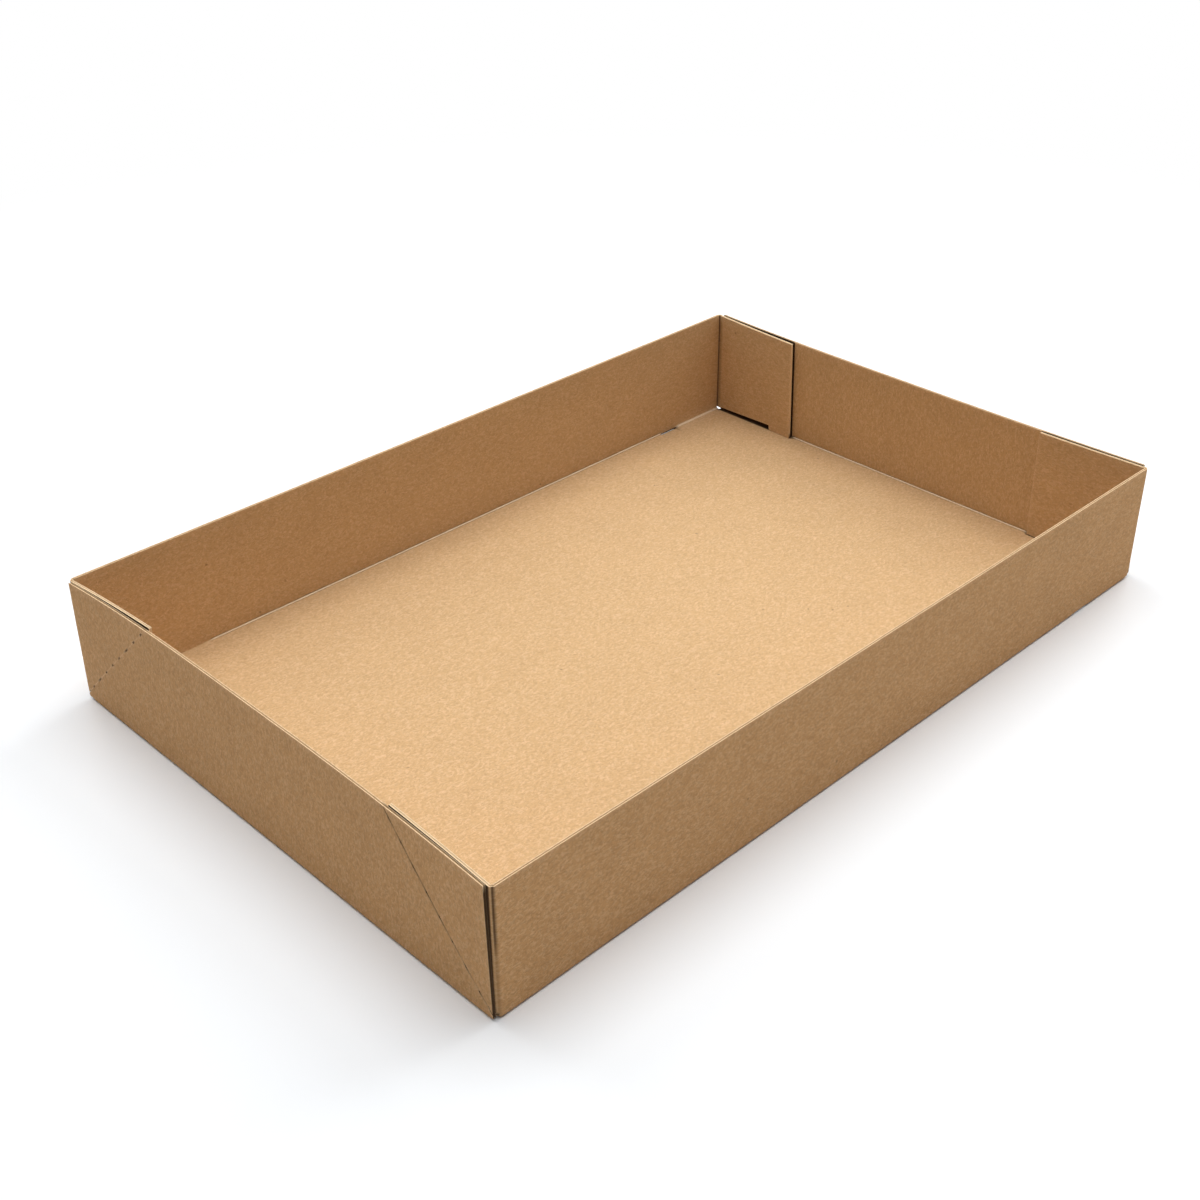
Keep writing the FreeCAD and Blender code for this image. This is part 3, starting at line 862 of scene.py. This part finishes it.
def makeBurrTree():
    tree = bpy.data.node_groups.new("punchBurrs", "GeometryNodeTree")
    tree.interface.new_socket("Geometry", in_out="INPUT", socket_type="NodeSocketGeometry")
    for name, kind in (("Ring Radius", "Float"), ("Burr Radius", "Float"), ("Unevenness", "Float"),
                       ("Seed", "Int"), ("Paper", "Material")):
        tree.interface.new_socket(name, in_out="INPUT", socket_type="NodeSocket" + kind)
    tree.interface.new_socket("Geometry", in_out="OUTPUT", socket_type="NodeSocketGeometry")
    given, made = tree.nodes.new("NodeGroupInput").outputs, tree.nodes.new("NodeGroupOutput").inputs
    circle = "GeometryNodeCurvePrimitiveCircle"
    ring = put(tree, circle, {"Resolution": 14, "Radius": given["Ring Radius"]}).outputs["Curve"]
    section = put(tree, circle, {"Resolution": 6, "Radius": given["Burr Radius"]}).outputs["Curve"]
    swept = put(tree, "GeometryNodeCurveToMesh", {"Curve": ring, "Profile Curve": section}).outputs[0]
    outward = put(tree, "GeometryNodeInputNamedAttribute", {"Name": "outward"}, data_type="FLOAT_VECTOR")
    outward = outward.outputs["Attribute"]
    turn = put(tree, "FunctionNodeAlignRotationToVector", {"Vector": outward}, axis="Z").outputs[0]
    least = maths(tree, "SUBTRACT", 1.0, given["Unevenness"])
    size = put(tree, "FunctionNodeRandomValue", {2: least, 3: 1.0, "Seed": given["Seed"]}, data_type="FLOAT")
    rings = {"Points": given["Geometry"], "Instance": swept, "Rotation": turn}
    placed = put(tree, "GeometryNodeInstanceOnPoints", rings).outputs[0]
    sizes = {"Instances": placed, "Scale": size.outputs[1]}
    placed = put(tree, "GeometryNodeScaleInstances", sizes).outputs[0]
    real = put(tree, "GeometryNodeRealizeInstances", {"Geometry": placed}).outputs[0]
    paper = put(tree, "GeometryNodeSetMaterial", {"Geometry": real, "Material": given["Paper"]})
    tree.links.new(paper.outputs[0], made["Geometry"])
    return tree


def makeBurrs(fibres):
    places = np.array(pinholePlaces())
    ones = np.ones(len(places))
    outer = foldBlank(places[:, 0], places[:, 1], ones)
    inner = foldBlank(places[:, 0], places[:, 1], ones * .9)
    outward = (outer - inner) / np.linalg.norm(outer - inner, axis=1)[:, None]
    mesh = bpy.data.meshes.new("pinholePlaces")
    mesh.from_pydata(((outer - outward * .05) * mm).tolist(), [], [])
    attribute = mesh.attributes.new("outward", "FLOAT_VECTOR", "POINT")
    attribute.data.foreach_set("vector", outward.astype(np.float32).ravel())
    holder = bpy.data.objects.new("pinholePlaces", mesh)
    scene.collection.objects.link(holder)
    tree = makeBurrTree()
    modifier = holder.modifiers.new("punchBurrs", "NODES")
    modifier.node_group = tree
    values = dict(burr, Paper=makeTornPaper(fibres))
    for socket in tree.interface.items_tree:
        if socket.in_out == "INPUT" and socket.name in values:
            modifier[socket.identifier] = values[socket.name]
    finished = bpy.data.meshes.new_from_object(holder.evaluated_get(bpy.context.evaluated_depsgraph_get()))
    bpy.data.objects.remove(holder)
    finished.name = "punchBurrs"
    burrs = bpy.data.objects.new("punchBurrs", finished)
    scene.collection.objects.link(burrs)
    print("punch burrs:", len(finished.polygons), "faces")
    return burrs


burrs = makeBurrs(paperFibres)
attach(burrs, "root")

# Floor, lamps and camera
stage = {
    "floorSize": 8.0,
    "floorColour": .8,
    "seenFloor": (.488, .501, .514),    # half of what the camera sees of the lit floor
    "plainFrom": .42,           # the floor is plain white beyond these distances
    "plainAt": .8,
    "skyStrength": .085,
    "lamps": {                  # place, size, power
        "overhead": ((0, 0, 1.8), 2.0, 29.8),
        "backRight": ((1.6, 0, 1.3), 1.4, 20.5),
        "backLeft": ((0, 1.6, 1.3), 1.4, 13.6),
    },
}


def seenDirectly(tree):
    # 1 for the camera and for what shows in gloss and glass
    path = put(tree, "ShaderNodeLightPath")
    return maths(tree, "MAXIMUM", path.outputs["Is Camera Ray"],
                 maths(tree, "MAXIMUM", path.outputs["Is Glossy Ray"], path.outputs["Is Transmission Ray"]))


def makeStage():
    reach, level = stage["floorSize"] / 2, -.1 * mm
    mesh = bpy.data.meshes.new("studioFloor")
    floorCorners = [(a * reach, b * reach, level) for a, b in ((-1, -1), (1, -1), (1, 1), (-1, 1))]
    mesh.from_pydata(floorCorners, [], [(0, 1, 2, 3)])
    floor = bpy.data.objects.new("studioFloor", mesh)
    scene.collection.objects.link(floor)
    material = bpy.data.materials.new("paleFloor")
    material.use_nodes = True
    tree = material.node_tree
    tree.nodes.clear()
    plain = put(tree, "ShaderNodeBsdfDiffuse", {"Color": (*[stage["floorColour"]] * 3, 1)}).outputs[0]
    half = put(tree, "ShaderNodeBsdfDiffuse", {"Color": (*stage["seenFloor"], 1)}).outputs[0]
    bright = put(tree, "ShaderNodeAddShader", {0: half, 1: half}).outputs[0]
    place = put(tree, "ShaderNodeTexCoord").outputs["Object"]
    far = put(tree, "ShaderNodeVectorMath", {0: place}, operation="LENGTH").outputs["Value"]
    far = stretched(tree, far, stage["plainFrom"], stage["plainAt"], interpolation_type="SMOOTHSTEP")
    white = put(tree, "ShaderNodeEmission", {"Color": (1, 1, 1, 1), "Strength": 1.0}).outputs[0]
    seen = put(tree, "ShaderNodeMixShader", {0: far, 1: bright, 2: white}).outputs[0]
    floorShader = put(tree, "ShaderNodeMixShader", {0: seenDirectly(tree), 1: plain, 2: seen}).outputs[0]
    put(tree, "ShaderNodeOutputMaterial", {"Surface": floorShader})
    mesh.materials.append(material)
    world = bpy.data.worlds.new("softRoom")
    scene.world = world
    world.use_nodes = True
    tree = world.node_tree
    tree.nodes.clear()
    sky, white = [put(tree, "ShaderNodeBackground", {"Color": (1, 1, 1, 1), "Strength": strength}).outputs[0]
                  for strength in (stage["skyStrength"], 1.0)]
    shown = put(tree, "ShaderNodeMixShader", {0: seenDirectly(tree), 1: sky, 2: white}).outputs[0]
    put(tree, "ShaderNodeOutputWorld", {"Surface": shown})
    for name, (place, size, power) in stage["lamps"].items():
        lamp = bpy.data.lights.new(name, "AREA")
        lamp.shape, lamp.size, lamp.energy = "SQUARE", size, power
        holder = bpy.data.objects.new(name, lamp)
        holder.location = place
        holder.rotation_euler = (-Vector(place)).to_track_quat("-Z", "Y").to_euler()
        scene.collection.objects.link(holder)


makeStage()
print("stage lit")

view = {
    "place": (-.44713, -.43631, .40954),
    "azimuth": 45.844,          # direction of sight, from +x towards +y
    "below": 32.09,
    "roll": -.57,
    "lens": 48.811,
}


def makeCamera():
    az, el, roll = [math.radians(view[k]) for k in ("azimuth", "below", "roll")]
    sight = Vector((math.cos(el) * math.cos(az), math.cos(el) * math.sin(az), -math.sin(el)))
    right = Vector((math.sin(az), -math.cos(az), 0))
    up = right.cross(sight)
    across = math.cos(roll) * right + math.sin(roll) * up
    upward = -math.sin(roll) * right + math.cos(roll) * up
    data = bpy.data.cameras.new("camera")
    data.lens = view["lens"]
    data.sensor_width = 36
    data.clip_start, data.clip_end = .01, 50
    camera = bpy.data.objects.new("camera", data)
    turn = Matrix((across, upward, -sight)).transposed()
    camera.matrix_world = Matrix.Translation(view["place"]) @ turn.to_4x4()
    scene.collection.objects.link(camera)
    scene.camera = camera


makeCamera()
scene.view_settings.view_transform = "Standard"
